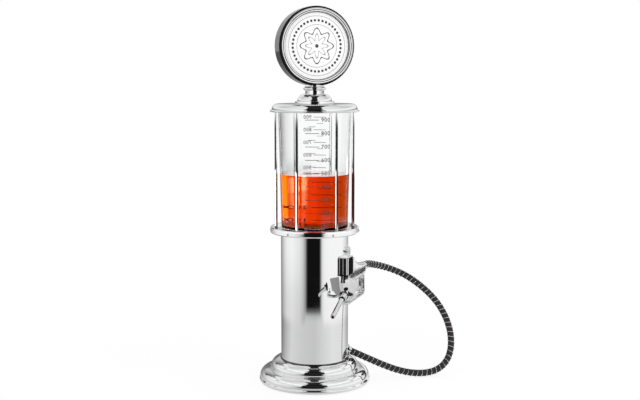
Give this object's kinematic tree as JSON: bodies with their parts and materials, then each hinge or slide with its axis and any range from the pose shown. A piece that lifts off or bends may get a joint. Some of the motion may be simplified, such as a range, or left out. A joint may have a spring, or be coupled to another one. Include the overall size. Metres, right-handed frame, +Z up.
{
  "type": "drink dispenser shaped like a fuel pump",
  "caption": "Table-top liquor dispenser shaped like an old fuel pump: stepped chrome base and column, clear tank in a rod cage, round sign on top, hose-fed nozzle gun on its side",
  "frame": {"origin": "centre of the foot pad's underside, on the table", "axes": "+Z up along the column's axis; +X from the axis to the gun bracket; the gun's spout points to -Y"},
  "size_m": [0.2479, 0.2126, 0.4998],
  "materials": {
    "chrome": "polished chrome plate",
    "steel": "bright steel",
    "black_rubber": "satin black",
    "pale_silicone": "milky, satin",
    "clear_tank": "clear, glossy",
    "dark_plastic": "satin",
    "brass": "turned brass",
    "white_plastic": "glossy white"
  },
  "bodies": {
    "stand": {"foot_pad": "black_rubber", "base_plate": "steel", "base": "chrome", "foot_ring": "chrome", "column": "chrome", "tie_rods": "steel", "tie_nuts": "steel", "collar": "chrome", "collar_screws": "steel", "tank_seat": "dark_plastic", "cage_rods": "chrome", "cage_ring": "chrome", "rod_screws": "steel", "tank": "clear_tank", "tank_gasket": "pale_silicone", "drain_union": "brass", "drain_nut": "brass", "drain_tube": "pale_silicone", "outlet_fitting": "chrome", "outlet_nut": "brass", "gun_bracket": "chrome", "bracket_screws": "steel", "hose": "black_rubber", "hose_wire": "steel"},
    "gun": {"nozzle_head": "chrome", "gun_tower": "chrome", "splash_wings": "chrome", "wing_rivets": "steel", "handle_left": "chrome", "handle_right": "chrome", "gun_screws": "steel", "valve_block": "brass", "valve_plug": "brass", "valve_spring": "steel", "spout": "chrome", "spout_nut": "chrome", "hose_ferrule": "chrome", "trigger_guard": "chrome", "guard_screws": "steel", "trigger_pin": "steel"},
    "trigger": {"trigger": "steel"},
    "stem": {"valve_stem": "steel", "valve_seal": "black_rubber"},
    "lid": {"lid": "chrome", "lid_seal": "pale_silicone"},
    "sign": {"finial_base": "chrome", "finial_stem": "chrome", "sign_stud": "steel", "stud_nuts": "steel", "sign_drum": "chrome", "sign_face": "white_plastic", "sign_back": "white_plastic", "sign_bezels": "chrome"}
  },
  "joints": [
    {"name": "gun_lift", "type": "slide", "parent": "stand", "child": "gun", "axis": [0, 0, 1], "range_m": [0, 0.0125], "deforming": ["hose", "hose_wire"]},
    {"name": "trigger_pull", "type": "hinge", "parent": "gun", "child": "trigger", "pos_m": [0.057, -0.031, 0.13], "axis": [1, 0, 0], "range_deg": [0, 12], "stiffness_Nm_per_rad": 0.03},
    {"name": "stem_lift", "type": "slide", "parent": "gun", "child": "stem", "axis": [0, 0, 1], "range_m": [0, 0.0036], "deforming": ["valve_spring"]},
    {"name": "lid_lift", "type": "slide", "parent": "stand", "child": "lid", "axis": [0, 0, 1], "range_m": [0, 0.12]},
    {"name": "sign_turn", "type": "hinge", "parent": "lid", "child": "sign", "pos_m": [0, 0, 0.38], "axis": [0, 0, 1], "continuous": true}
  ],
  "couplings": [
    {"joint": "stem_lift", "follows": "trigger_pull", "m_per_rad": 0.017}
  ]
}
